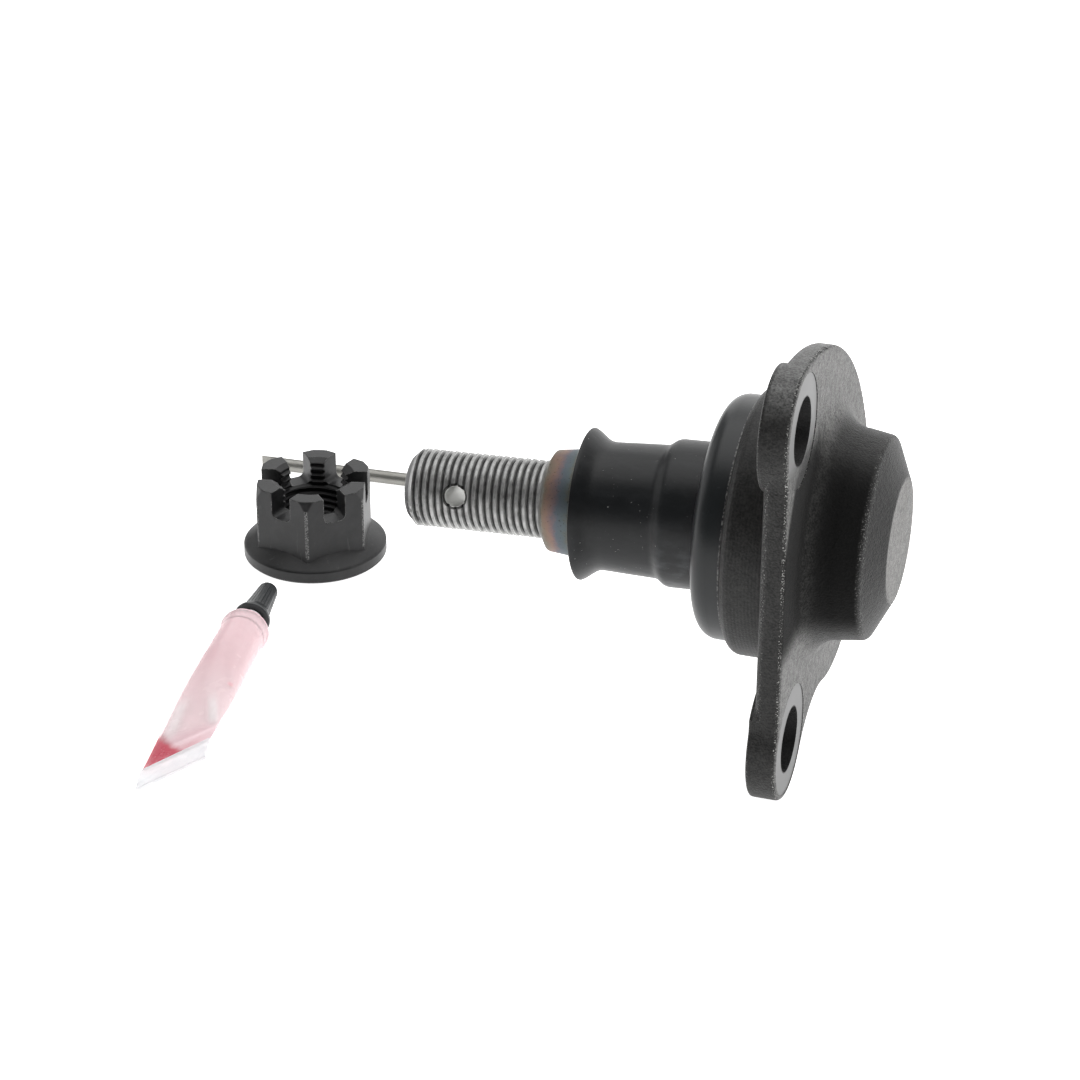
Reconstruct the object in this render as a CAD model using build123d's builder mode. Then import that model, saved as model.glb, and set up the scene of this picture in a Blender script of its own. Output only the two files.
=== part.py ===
from build123d import *
from math import acos, atan2, cos, hypot, pi, radians, sin, sqrt
import os

# Millimetres. The origin is the ball centre, X runs along the housing from stud to closed end, +Z is up.

# Flange, a plate standing across the housing axis
WEB_BACK_X = 0.9
WEB_FACE_X = 6.0
DISC_Y = 12.0
DISC_Z = -10.0
DISC_RADIUS = 28.3
HOLE_Y = -25.5
HOLE_Z = 33.7
HOLE_RADIUS = 6.6
EAR_RADIUS = 12.3
LOWER_PAD_RADIUS = 14.0
SPOTFACE_RADIUS = 11.2
SPOTFACE_DEPTH = 0.15
WEB_FRONT_Y = -36.0
FRONT_FILLET_RADIUS = 8.0
LOBE_RADIUS = 71.0
FLANK_RADIUS = 18.5
FACE_ROUNDING = 1.0
BACK_ROUNDING = 2.0
PAD_ROUNDING = 0.6

# Housing, turned about X
SPIGOT_END_X = -11.5
SEAM_X = -9.6
HOUSING_RADIUS = 27.2
HOUSING_CORNER_RADIUS = 2.4
WEB_FILLET_RADIUS = 6.0
BOSS_ROOT_RADIUS = 21.2
BOSS_RADIUS = 20.5
BOSS_SHOULDER_X = 16.9
CAP_END_X = 20.7
CAP_END_RADIUS = 12.6
BOSS_ROUNDING = 1.4

# Cavity and the parts inside it
BALL_RADIUS = 14.0
BALL_CLEARANCE = 0.03
CAVITY_RADIUS = 16.4
CAVITY_STRAIGHT_X = 10.5
CAVITY_FLOOR_X = 16.6
CAVITY_FLOOR_RADIUS = 9.0
LINER_CLEARANCE = 0.05
LINER_BOTTOM_X = 15.3
LINER_HOLE_RADIUS = 4.0
LINER_SPLIT_GAP = 0.1
RING_SEAT_RADIUS = 20.05
RING_SEAT_X = -6.5
RING_FRONT_X = -9.4
RING_CLEARANCE = 0.05
RING_BACK_OPENING = 12.9
RING_FRONT_OPENING = 14.3
SPRING_INNER_RADIUS = 3.5
SPRING_OUTER_RADIUS = 8.5
SPRING_THICKNESS = 0.6
SPRING_DISH = 0.55

# Shroud pressed over the spigot, and the boot behind it
SHROUD_RADIUS = 24.85
SHROUD_WALL = 1.5
SHROUD_CLEARANCE = 0.05
SHROUD_CORNER_RADIUS = 3.8
SHROUD_FRONT_X = -16.3
SHROUD_MOUTH_RADIUS = 19.5
BEAD_INNER_RADIUS = 19.6
BEAD_CLEARANCE = 0.2
BEAD_CHAMFER = 1.7
FOLD_CENTRE = 14.4
FOLD_RADIUS = 16.3
FOLD_OUTER = 2.5
FOLD_INNER = 1.2

# Stud, measured from the ball centre along its own axis, resting a little off the housing axis
STUD_YAW = 2.05
STUD_PITCH = 1.64
BALL_FLAT = 13.2
NECK_RADIUS = 7.5
NECK_END = 20.0
CONE_END = 29.0
SHANK_RADIUS = 11.05
TAPER_START = 44.3
TAPER_END = 51.2
TAPER_END_RADIUS = 10.37
THREAD_START = 52.8
THREAD_RADIUS = 8.0
STUD_END = 81.6
STUD_CHAMFER = 2.0
CROSS_HOLE = 69.0
CROSS_HOLE_RADIUS = 2.1
CROSS_HOLE_TURN = 17.8

# Boot sleeve on the stud, with the steel insert in its small end
SLEEVE_START = 15.2
SLEEVE_RADIUS = 15.0
SLEEVE_WALL = 1.5
SLEEVE_STEP = 24.4
SLEEVE_STEP_END = 27.0
SLEEVE_STEP_RADIUS = 13.6
WAIST = 38.3
WAIST_RADIUS = 13.05
LIP_CREST = 42.7
LIP_CREST_RADIUS = 15.5
LIP_END = 44.6
LIP_END_RADIUS = 14.4
INSERT_START = 36.0
INSERT_END = 43.4
INSERT_WALL = 0.65
INSERT_CLEARANCE = 0.1
INSERT_FIT = 0.02
LIP_MOUTH_CLEARANCE = 0.35

# Castle nut, upright on the floor
NUT_X = -120.0
NUT_Y = 39.9
NUT_HEIGHT = 19.0
NUT_ACROSS_FLATS = 24.0
NUT_TURN = -75.5
NUT_BORE_RADIUS = 7.2
NUT_COUNTERSINK = 0.9
NUT_TOP_COUNTERSINK = 2.1
NUT_TOP_COUNTERSINK_DEPTH = 1.2
NUT_FLANGE_RADIUS = 16.1
NUT_FLANGE_BAND = 3.2
NUT_FLANGE_EDGE = 0.5
NUT_FLANGE_TOP = 5.0
NUT_FLANGE_ROOT = 12.4
NUT_SLOT_WIDTH = 5.1
NUT_SLOT_FLOOR = 13.0
NUT_SLOT_CORNER = 0.9
NUT_CROWN_RADIUS = 13.0
NUT_CROWN_SLOPE = 3.3

# Cotter pin, flat on the floor
PIN_X = -147.3
PIN_Y = 74.7
PIN_TURN = 2.8
PIN_RADIUS = 1.5
PIN_LENGTH = 43.0
PIN_SHORT_LEG = 2.0
PIN_GAP = 0.08
EYE_BEND_RADIUS = 3.0
EYE_RADIUS = 1.6

# Tube of thread compound, lying on the floor, measured from the cap's mouth towards the tail
TUBE_X = -117.9
TUBE_Y = -2.7
TUBE_HEADING = 96.1
TUBE_RADIUS = 5.35
TUBE_WALL = 0.4
TUBE_FRONT = 5.0
TUBE_FLAT_START = 16.0
TUBE_FLAT_END = 53.6
TUBE_TAIL_DROP = 1.2
SEAL_LENGTH = 8.4
SEAL_HALF_WIDTH = 8.0
SEAL_HALF_THICKNESS = 0.4
SEAL_TWIST = 28.0
SEAL_SKEW = 12.7
GEL_CLEARANCE = 0.06
GEL_START = 7.6
GEL_END = 46.6
SHOULDER_SKIRT = 7.0
SHOULDER_CLEARANCE = 0.03
SHOULDER_TOP = 0.1
SHOULDER_TOP_RADIUS = 2.5
SHOULDER_EDGE = 0.9
NOZZLE_RADIUS = 2.0
NOZZLE_LENGTH = 7.6
NOZZLE_BORE_RADIUS = 0.9
CAP_LENGTH = 13.3
CAP_COLLAR_RADIUS = 4.0
CAP_COLLAR_HEIGHT = 1.3
CAP_BASE_RADIUS = 3.15
CAP_TIP_RADIUS = 2.15
CAP_BORE_DEPTH = 8.2
CAP_CLEARANCE = 0.06
CAP_ROUNDING = 0.45

FLOOR_Z = -(HOLE_Z + EAR_RADIUS)

os.makedirs("parts", exist_ok=True)


def point(centre, radius, angle):
    return (centre[0] + radius * cos(angle), centre[1] + radius * sin(angle))


def arc(centre, radius, start, end):
    middle = (start + end) / 2
    return ThreePointArc(point(centre, radius, start), point(centre, radius, middle), point(centre, radius, end))


def meeting(first, first_reach, second, second_reach):
    ahead = second[0] - first[0], second[1] - first[1]
    distance = hypot(*ahead)
    offset = (first_reach**2 - second_reach**2 + distance**2) / (2 * distance)
    return point(first, first_reach, atan2(ahead[1], ahead[0]) + acos(offset / first_reach))


def bearing(centre, target):
    return atan2(target[1] - centre[1], target[0] - centre[0])


# The flange outline in Y and Z, all of arcs that run into one another: a disc set off towards the back, a
# long lobe from it to the upper ear, a hollow flank to the lower ear, and a straight front between two fillets
UPPER_EAR = (HOLE_Y, HOLE_Z)
LOWER_EAR = (HOLE_Y, -HOLE_Z)
DISC_CENTRE = (DISC_Y, DISC_Z)
lobe_centre = meeting(DISC_CENTRE, LOBE_RADIUS - DISC_RADIUS, UPPER_EAR, LOBE_RADIUS - EAR_RADIUS)
lobe_start = bearing(lobe_centre, DISC_CENTRE)
lobe_end = bearing(lobe_centre, UPPER_EAR)
flank_centre = meeting(DISC_CENTRE, DISC_RADIUS + FLANK_RADIUS, LOWER_EAR, EAR_RADIUS + FLANK_RADIUS)
flank_start = bearing(flank_centre, LOWER_EAR)
flank_end = bearing(flank_centre, DISC_CENTRE)
fillet_y = WEB_FRONT_Y - FRONT_FILLET_RADIUS
fillet_drop = sqrt((EAR_RADIUS + FRONT_FILLET_RADIUS) ** 2 - (HOLE_Y - fillet_y) ** 2)
fillet_z = HOLE_Z - fillet_drop
fillet_angle = atan2(fillet_drop, HOLE_Y - fillet_y)

with BuildSketch(Plane.YZ) as outline:
    with BuildLine():
        arc(DISC_CENTRE, DISC_RADIUS, flank_end - pi, lobe_start)
        arc(lobe_centre, LOBE_RADIUS, lobe_start, lobe_end)
        arc(UPPER_EAR, EAR_RADIUS, lobe_end, pi + fillet_angle)
        arc((fillet_y, fillet_z), FRONT_FILLET_RADIUS, fillet_angle, 0)
        Line((WEB_FRONT_Y, fillet_z), (WEB_FRONT_Y, -fillet_z))
        arc((fillet_y, -fillet_z), FRONT_FILLET_RADIUS, 0, -fillet_angle)
        arc(LOWER_EAR, EAR_RADIUS, pi - fillet_angle, flank_start + pi)
        arc(flank_centre, FLANK_RADIUS, flank_start, flank_end)
    make_face()
with BuildPart() as web:
    with BuildSketch(Plane.YZ.offset(WEB_BACK_X)):
        add(outline.sketch_local)
    extrude(amount=WEB_FACE_X - WEB_BACK_X)
    fillet(web.edges().group_by(Axis.X)[-1], radius=FACE_ROUNDING)
    fillet(web.edges().group_by(Axis.X)[0], radius=BACK_ROUNDING)
with BuildPart() as housing:
    with BuildSketch(Plane.YZ):
        with Locations(UPPER_EAR):
            Circle(EAR_RADIUS)
        with Locations(LOWER_EAR):
            Circle(LOWER_PAD_RADIUS)
        add(outline.sketch_local, mode=Mode.INTERSECT)
    extrude(amount=WEB_BACK_X + BACK_ROUNDING)
    fillet(housing.edges().group_by(Axis.X)[0], radius=PAD_ROUNDING)
    add(web.part)
    with BuildSketch(Plane.YZ.offset(WEB_FACE_X - SPOTFACE_DEPTH)):
        with Locations(UPPER_EAR, LOWER_EAR):
            Circle(SPOTFACE_RADIUS)
    extrude(amount=SPOTFACE_DEPTH * 2, mode=Mode.SUBTRACT)
    with BuildSketch(Plane.YZ):
        with Locations(UPPER_EAR, LOWER_EAR):
            Circle(HOLE_RADIUS)
    extrude(amount=WEB_FACE_X, mode=Mode.SUBTRACT)
    with BuildSketch(Plane.XY) as body_profile:
        with BuildLine():
            spigot_radius = SHROUD_RADIUS - SHROUD_WALL - SHROUD_CLEARANCE
            corner = (SEAM_X + HOUSING_CORNER_RADIUS, HOUSING_RADIUS - HOUSING_CORNER_RADIUS)
            root = (WEB_FACE_X + WEB_FILLET_RADIUS, BOSS_ROOT_RADIUS + WEB_FILLET_RADIUS)
            Polyline(
                (SPIGOT_END_X, 0),
                (SPIGOT_END_X, spigot_radius),
                (SEAM_X, spigot_radius),
                (SEAM_X, corner[1]),
            )
            arc(corner, HOUSING_CORNER_RADIUS, pi, pi / 2)
            Polyline((corner[0], HOUSING_RADIUS), (WEB_BACK_X, HOUSING_RADIUS), (WEB_FACE_X, root[1]))
            arc(root, WEB_FILLET_RADIUS, pi, 3 * pi / 2)
            Polyline(
                (root[0], BOSS_ROOT_RADIUS),
                (BOSS_SHOULDER_X, BOSS_RADIUS),
                (CAP_END_X, CAP_END_RADIUS),
                (CAP_END_X, 0),
                (SPIGOT_END_X, 0),
            )
        make_face()
        fillet(body_profile.vertices().sort_by_distance((BOSS_SHOULDER_X, BOSS_RADIUS))[0], BOSS_ROUNDING)
        fillet(body_profile.vertices().sort_by_distance((CAP_END_X, CAP_END_RADIUS))[0], BOSS_ROUNDING / 2)
    revolve(axis=Axis.X)
    with BuildSketch(Plane.XY):
        with BuildLine():
            Polyline(
                (SPIGOT_END_X, 0),
                (SPIGOT_END_X, RING_SEAT_RADIUS),
                (RING_SEAT_X, RING_SEAT_RADIUS),
                (RING_SEAT_X, CAVITY_RADIUS),
                (CAVITY_STRAIGHT_X, CAVITY_RADIUS),
                (CAVITY_FLOOR_X, CAVITY_FLOOR_RADIUS),
                (CAVITY_FLOOR_X, 0),
                close=True,
            )
        make_face()
    revolve(axis=Axis.X, mode=Mode.SUBTRACT)
housing.part.label = "housing"
export_step(housing.part, "parts/housing.step")

socket_radius = BALL_RADIUS + BALL_CLEARANCE
liner_radius = CAVITY_RADIUS - LINER_CLEARANCE
cone_slope = (CAVITY_RADIUS - CAVITY_FLOOR_RADIUS) / (CAVITY_FLOOR_X - CAVITY_STRAIGHT_X)

with BuildPart() as bearing_cup:
    with BuildSketch(Plane.XY):
        with BuildLine():
            Polyline(
                (LINER_SPLIT_GAP, 0),
                (LINER_SPLIT_GAP, liner_radius),
                (CAVITY_STRAIGHT_X - LINER_CLEARANCE, liner_radius),
                (LINER_BOTTOM_X, liner_radius - cone_slope * (LINER_BOTTOM_X - CAVITY_STRAIGHT_X + LINER_CLEARANCE)),
                (LINER_BOTTOM_X, 0),
                close=True,
            )
        make_face()
        Circle(socket_radius, mode=Mode.SUBTRACT)
        Rectangle(CAVITY_FLOOR_X, LINER_HOLE_RADIUS, align=(Align.MIN, Align.MIN), mode=Mode.SUBTRACT)
    revolve(axis=Axis.X)
bearing_cup.part.label = "bearing_cup"
export_step(bearing_cup.part, "parts/bearing_cup.step")

with BuildPart() as bearing_ring:
    with BuildSketch(Plane.XY):
        with BuildLine():
            Polyline(
                (-LINER_SPLIT_GAP, 0),
                (-LINER_SPLIT_GAP, liner_radius),
                (RING_SEAT_X + LINER_SPLIT_GAP, liner_radius),
                (RING_SEAT_X + LINER_SPLIT_GAP, 0),
                close=True,
            )
        make_face()
        Circle(socket_radius, mode=Mode.SUBTRACT)
    revolve(axis=Axis.X)
bearing_ring.part.label = "bearing_ring"
export_step(bearing_ring.part, "parts/bearing_ring.step")

with BuildPart() as closing_ring:
    with BuildSketch(Plane.XY):
        with BuildLine():
            Polyline(
                (RING_FRONT_X, RING_FRONT_OPENING),
                (RING_FRONT_X, RING_SEAT_RADIUS - RING_CLEARANCE),
                (RING_SEAT_X, RING_SEAT_RADIUS - RING_CLEARANCE),
                (RING_SEAT_X, RING_BACK_OPENING),
                close=True,
            )
        make_face()
    revolve(axis=Axis.X)
closing_ring.part.label = "closing_ring"
export_step(closing_ring.part, "parts/closing_ring.step")

with BuildPart() as preload_spring:
    with BuildSketch(Plane.XY):
        with BuildLine():
            Polyline(
                (CAVITY_FLOOR_X - SPRING_THICKNESS, SPRING_OUTER_RADIUS),
                (CAVITY_FLOOR_X, SPRING_OUTER_RADIUS),
                (CAVITY_FLOOR_X - SPRING_DISH, SPRING_INNER_RADIUS),
                (CAVITY_FLOOR_X - SPRING_DISH - SPRING_THICKNESS, SPRING_INNER_RADIUS),
                close=True,
            )
        make_face()
    revolve(axis=Axis.X)
preload_spring.part.label = "preload_spring"
export_step(preload_spring.part, "parts/preload_spring.step")

with BuildPart() as shroud:
    with BuildSketch(Plane.XY):
        with BuildLine():
            bend = (SHROUD_FRONT_X + SHROUD_CORNER_RADIUS, SHROUD_RADIUS - SHROUD_CORNER_RADIUS)
            inner_bend = SHROUD_CORNER_RADIUS - SHROUD_WALL
            arc(bend, SHROUD_CORNER_RADIUS, pi / 2, pi)
            Polyline(
                (SHROUD_FRONT_X, bend[1]),
                (SHROUD_FRONT_X, SHROUD_MOUTH_RADIUS),
                (SHROUD_FRONT_X + SHROUD_WALL, SHROUD_MOUTH_RADIUS),
                (SHROUD_FRONT_X + SHROUD_WALL, bend[1]),
            )
            arc(bend, inner_bend, pi, pi / 2)
            Polyline(
                (bend[0], SHROUD_RADIUS - SHROUD_WALL),
                (SEAM_X - SHROUD_CLEARANCE, SHROUD_RADIUS - SHROUD_WALL),
                (SEAM_X - SHROUD_CLEARANCE, SHROUD_RADIUS),
                (bend[0], SHROUD_RADIUS),
            )
        make_face()
    revolve(axis=Axis.X)
shroud.part.label = "shroud"
export_step(shroud.part, "parts/shroud.step")

bead_radius = SHROUD_RADIUS - SHROUD_WALL - BEAD_CLEARANCE
bead_front_x = SHROUD_FRONT_X + SHROUD_WALL + BEAD_CLEARANCE
with BuildPart() as boot_base:
    with BuildSketch(Plane.XY):
        with BuildLine():
            Polyline(
                (SPIGOT_END_X - SHROUD_CLEARANCE, BEAD_INNER_RADIUS),
                (SPIGOT_END_X - SHROUD_CLEARANCE, bead_radius),
                (bead_front_x + BEAD_CHAMFER, bead_radius),
                (bead_front_x, bead_radius - BEAD_CHAMFER),
                (bead_front_x, BEAD_INNER_RADIUS),
                close=True,
            )
        make_face()
    revolve(axis=Axis.X)
boot_base.part.label = "boot_base"
export_step(boot_base.part, "parts/boot_base.step")

# Directions along the stud, across it toward -Y, and across it upward
stud_yaw = radians(STUD_YAW)
stud_pitch = radians(STUD_PITCH)
along = Vector(-cos(stud_yaw) * cos(stud_pitch), -sin(stud_yaw) * cos(stud_pitch), -sin(stud_pitch))
across = Vector(sin(stud_yaw), -cos(stud_yaw), 0)
stud_plane = Plane(origin=(0, 0, 0), x_dir=along, z_dir=along.cross(across))
stud_axis = Axis((0, 0, 0), along)

fold_along = (along + Vector(-1, 0, 0)).normalized()
fold_plane = Plane(origin=(0, 0, 0), x_dir=fold_along, z_dir=fold_along.cross(across))
with BuildPart() as boot_fold:
    with BuildSketch(fold_plane):
        with BuildLine():
            centre = (FOLD_CENTRE, FOLD_RADIUS)
            arc(centre, FOLD_OUTER, pi / 2, 3 * pi / 2)
            Line((FOLD_CENTRE, FOLD_RADIUS - FOLD_OUTER), (FOLD_CENTRE, FOLD_RADIUS - FOLD_INNER))
            arc(centre, FOLD_INNER, 3 * pi / 2, pi / 2)
            Line((FOLD_CENTRE, FOLD_RADIUS + FOLD_INNER), (FOLD_CENTRE, FOLD_RADIUS + FOLD_OUTER))
        make_face()
    revolve(axis=Axis((0, 0, 0), fold_along))
boot_fold.part.label = "boot_fold"
export_step(boot_fold.part, "parts/boot_fold.step")

insert_bore = SHANK_RADIUS + INSERT_CLEARANCE
insert_radius = insert_bore + INSERT_WALL
lip_bore = insert_radius + INSERT_FIT
with BuildPart() as boot_sleeve:
    with BuildSketch(stud_plane):
        with BuildLine():
            Polyline(
                (SLEEVE_START, SLEEVE_RADIUS - SLEEVE_WALL),
                (SLEEVE_START, SLEEVE_RADIUS),
                (SLEEVE_STEP, SLEEVE_RADIUS),
            )
            ThreePointArc(
                (SLEEVE_STEP, SLEEVE_RADIUS),
                ((SLEEVE_STEP + SLEEVE_STEP_END) / 2 + 0.1, (SLEEVE_RADIUS + SLEEVE_STEP_RADIUS) / 2 + 0.1),
                (SLEEVE_STEP_END, SLEEVE_STEP_RADIUS),
            )
            Line((SLEEVE_STEP_END, SLEEVE_STEP_RADIUS), (WAIST, WAIST_RADIUS))
            Spline(
                (WAIST, WAIST_RADIUS),
                (LIP_CREST, LIP_CREST_RADIUS),
                (LIP_END, LIP_END_RADIUS),
                tangents=((1, 0), (0.3, -1)),
            )
            Polyline(
                (LIP_END, LIP_END_RADIUS),
                (LIP_END, SHANK_RADIUS + LIP_MOUTH_CLEARANCE),
                (INSERT_END + INSERT_FIT, SHANK_RADIUS + LIP_MOUTH_CLEARANCE),
                (INSERT_END + INSERT_FIT, lip_bore),
                (INSERT_START - INSERT_FIT, lip_bore),
                (SLEEVE_STEP_END, SLEEVE_STEP_RADIUS - SLEEVE_WALL),
                (SLEEVE_STEP, SLEEVE_RADIUS - SLEEVE_WALL),
                (SLEEVE_START, SLEEVE_RADIUS - SLEEVE_WALL),
            )
        make_face()
    revolve(axis=stud_axis)
boot_sleeve.part.label = "boot_sleeve"
export_step(boot_sleeve.part, "parts/boot_sleeve.step")

with BuildPart() as sleeve_insert:
    with BuildSketch(stud_plane):
        with BuildLine():
            Polyline(
                (INSERT_START, insert_bore),
                (INSERT_START, insert_radius),
                (INSERT_END, insert_radius),
                (INSERT_END, insert_bore),
                close=True,
            )
        make_face()
    revolve(axis=stud_axis)
sleeve_insert.part.label = "sleeve_insert"
export_step(sleeve_insert.part, "parts/sleeve_insert.step")

ball_flat_radius = sqrt(BALL_RADIUS**2 - BALL_FLAT**2)
neck_start = sqrt(BALL_RADIUS**2 - NECK_RADIUS**2)
hole_turn = radians(CROSS_HOLE_TURN)
hole_direction = across * cos(hole_turn) + along.cross(across) * sin(hole_turn)
with BuildPart() as ball_stud:
    with BuildSketch(stud_plane):
        with BuildLine():
            Polyline((neck_start, NECK_RADIUS), (NECK_END, NECK_RADIUS), (CONE_END, SHANK_RADIUS))
            Polyline(
                (CONE_END, SHANK_RADIUS),
                (TAPER_START, SHANK_RADIUS),
                (TAPER_END, TAPER_END_RADIUS),
                (THREAD_START, THREAD_RADIUS),
                (STUD_END - STUD_CHAMFER, THREAD_RADIUS),
                (STUD_END, THREAD_RADIUS - STUD_CHAMFER),
                (STUD_END, 0),
                (-BALL_FLAT, 0),
                (-BALL_FLAT, ball_flat_radius),
            )
            ThreePointArc((-BALL_FLAT, ball_flat_radius), (0, BALL_RADIUS), (neck_start, NECK_RADIUS))
        make_face()
    revolve(axis=stud_axis)
    with BuildSketch(Plane(origin=along * CROSS_HOLE, x_dir=along, z_dir=hole_direction)):
        Circle(CROSS_HOLE_RADIUS)
    extrude(amount=2 * THREAD_RADIUS, both=True, mode=Mode.SUBTRACT)
ball_stud.part.label = "ball_stud"
export_step(ball_stud.part, "parts/ball_stud.step")

nut_plane = Plane(origin=(NUT_X, NUT_Y, FLOOR_Z))
nut_axis = Axis((NUT_X, NUT_Y, FLOOR_Z), (0, 0, 1))
nut_corner = NUT_ACROSS_FLATS / sqrt(3)
with BuildPart() as castle_nut:
    with BuildSketch(nut_plane):
        RegularPolygon(nut_corner, 6, rotation=NUT_TURN)
    extrude(amount=NUT_HEIGHT)
    with BuildSketch(Plane(origin=nut_plane.origin, x_dir=(1, 0, 0), z_dir=(0, -1, 0))):
        with BuildLine():
            Polyline(
                (NUT_CROWN_RADIUS, NUT_HEIGHT),
                (NUT_FLANGE_RADIUS, NUT_HEIGHT),
                (NUT_FLANGE_RADIUS, NUT_HEIGHT - NUT_CROWN_SLOPE * (NUT_FLANGE_RADIUS - NUT_CROWN_RADIUS)),
                close=True,
            )
        make_face()
    revolve(axis=nut_axis, mode=Mode.SUBTRACT)
    with BuildSketch(Plane(origin=nut_plane.origin, x_dir=(1, 0, 0), z_dir=(0, -1, 0))):
        with BuildLine():
            Polyline(
                (0, 0),
                (NUT_FLANGE_RADIUS - NUT_FLANGE_EDGE, 0),
                (NUT_FLANGE_RADIUS, NUT_FLANGE_EDGE),
                (NUT_FLANGE_RADIUS, NUT_FLANGE_BAND - NUT_FLANGE_EDGE),
                (NUT_FLANGE_RADIUS - NUT_FLANGE_EDGE, NUT_FLANGE_BAND),
                (NUT_FLANGE_ROOT, NUT_FLANGE_TOP),
                (0, NUT_FLANGE_TOP),
                close=True,
            )
        make_face()
    revolve(axis=nut_axis)
    for turn in range(3):
        slot_turn = radians(NUT_TURN + 30 + 60 * turn)
        with BuildSketch(
            Plane(
                origin=(NUT_X, NUT_Y, FLOOR_Z + NUT_SLOT_FLOOR),
                x_dir=(-sin(slot_turn), cos(slot_turn), 0),
                z_dir=(cos(slot_turn), sin(slot_turn), 0),
            )
        ) as slot_profile:
            Rectangle(NUT_SLOT_WIDTH, NUT_HEIGHT, align=(Align.CENTER, Align.MIN))
            fillet(slot_profile.vertices().group_by(Axis.Z)[0], NUT_SLOT_CORNER)
        extrude(amount=NUT_FLANGE_RADIUS, both=True, mode=Mode.SUBTRACT)
    with BuildSketch(Plane(origin=nut_plane.origin, x_dir=(1, 0, 0), z_dir=(0, -1, 0))):
        with BuildLine():
            Polyline(
                (0, 0),
                (NUT_BORE_RADIUS + NUT_COUNTERSINK, 0),
                (NUT_BORE_RADIUS, NUT_COUNTERSINK),
                (NUT_BORE_RADIUS, NUT_HEIGHT - NUT_TOP_COUNTERSINK_DEPTH),
                (NUT_BORE_RADIUS + NUT_TOP_COUNTERSINK, NUT_HEIGHT),
                (0, NUT_HEIGHT),
                close=True,
            )
        make_face()
    revolve(axis=nut_axis, mode=Mode.SUBTRACT)
castle_nut.part.label = "castle_nut"
export_step(castle_nut.part, "parts/castle_nut.step")

# The pin is one half-round wire: a leg, out round the eye, and back along the other leg
pin_turn = radians(PIN_TURN)
pin_plane = Plane(
    origin=(PIN_X, PIN_Y, FLOOR_Z + PIN_RADIUS), x_dir=(cos(pin_turn), sin(pin_turn), 0), z_dir=(0, 0, 1)
)
bend_y = PIN_GAP + EYE_BEND_RADIUS
eye_reach = sqrt((EYE_BEND_RADIUS + EYE_RADIUS) ** 2 - bend_y**2)
bend_angle = atan2(eye_reach, bend_y)
eye_centre = (PIN_LENGTH + eye_reach, 0)
with BuildPart() as cotter_pin:
    with BuildLine(pin_plane):
        Line((0, PIN_GAP), (PIN_LENGTH, PIN_GAP))
        arc((PIN_LENGTH, bend_y), EYE_BEND_RADIUS, -pi / 2, -pi / 2 + bend_angle)
        arc(eye_centre, EYE_RADIUS, pi / 2 + bend_angle, -pi / 2 - bend_angle)
        arc((PIN_LENGTH, -bend_y), EYE_BEND_RADIUS, pi / 2 - bend_angle, pi / 2)
        Line((PIN_LENGTH, -PIN_GAP), (PIN_SHORT_LEG, -PIN_GAP))
    with BuildSketch(
        Plane(origin=pin_plane.from_local_coords((0, PIN_GAP, 0)), x_dir=pin_plane.y_dir, z_dir=pin_plane.x_dir)
    ):
        Circle(PIN_RADIUS)
        Rectangle(2 * PIN_RADIUS, 4 * PIN_RADIUS, align=(Align.MAX, Align.CENTER), mode=Mode.SUBTRACT)
    sweep()
cotter_pin.part.label = "cotter_pin"
export_step(cotter_pin.part, "parts/cotter_pin.step")

tube_turn = radians(TUBE_HEADING)
tube_ahead = Vector(cos(tube_turn), sin(tube_turn), 0)
tube_side = Vector(sin(tube_turn), -cos(tube_turn), 0)
tube_up = Vector(0, 0, 1)
tube_mouth = Vector(TUBE_X, TUBE_Y, FLOOR_Z + TUBE_RADIUS)
tube_plane = Plane(origin=tube_mouth, x_dir=tube_ahead, z_dir=tube_up)
tube_axis = Axis(tube_mouth, tube_ahead)


def flattening(distance):
    share = (distance - TUBE_FLAT_START) / (TUBE_FLAT_END - TUBE_FLAT_START)
    share = min(max(share, 0), 1)
    return share * share * (3 - 2 * share)


def tube_station(distance):
    share = flattening(distance)
    twist = radians(SEAL_TWIST) * share
    skew = radians(SEAL_SKEW) * share
    wide = tube_side * cos(twist) + tube_up * sin(twist)
    origin = tube_mouth - tube_ahead * distance - tube_up * (TUBE_TAIL_DROP * share)
    return Plane(
        origin=origin,
        x_dir=wide * cos(skew) + tube_ahead * sin(skew),
        z_dir=wide * sin(skew) - tube_ahead * cos(skew),
    )


def tube_section(distance, inset):
    share = flattening(distance)
    Ellipse(
        TUBE_RADIUS + (SEAL_HALF_WIDTH - TUBE_RADIUS) * share - inset,
        TUBE_RADIUS + (SEAL_HALF_THICKNESS - TUBE_RADIUS) * share - inset,
    )


def stations(start, end, count):
    return [start + (end - start) * step / (count - 1) for step in range(count)]


with BuildPart() as tube_body:
    for distance in stations(TUBE_FRONT, TUBE_FLAT_END, 9):
        with BuildSketch(tube_station(distance)):
            tube_section(distance, 0)
    loft()
    with BuildSketch(tube_station(TUBE_FLAT_END)):
        Rectangle(2 * SEAL_HALF_WIDTH, 2 * SEAL_HALF_THICKNESS)
    extrude(amount=SEAL_LENGTH)
    for distance in stations(TUBE_FRONT, GEL_END + 1, 9):
        with BuildSketch(tube_station(distance)):
            tube_section(distance, TUBE_WALL)
    loft(mode=Mode.SUBTRACT)
tube_body.part.label = "tube_body"
export_step(tube_body.part, "parts/tube_body.step")

with BuildPart() as tube_gel:
    for distance in stations(GEL_START, GEL_END, 8):
        with BuildSketch(tube_station(distance)):
            tube_section(distance, TUBE_WALL + GEL_CLEARANCE)
    loft()
tube_gel.part.label = "tube_gel"
export_step(tube_gel.part, "parts/tube_gel.step")

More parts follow.
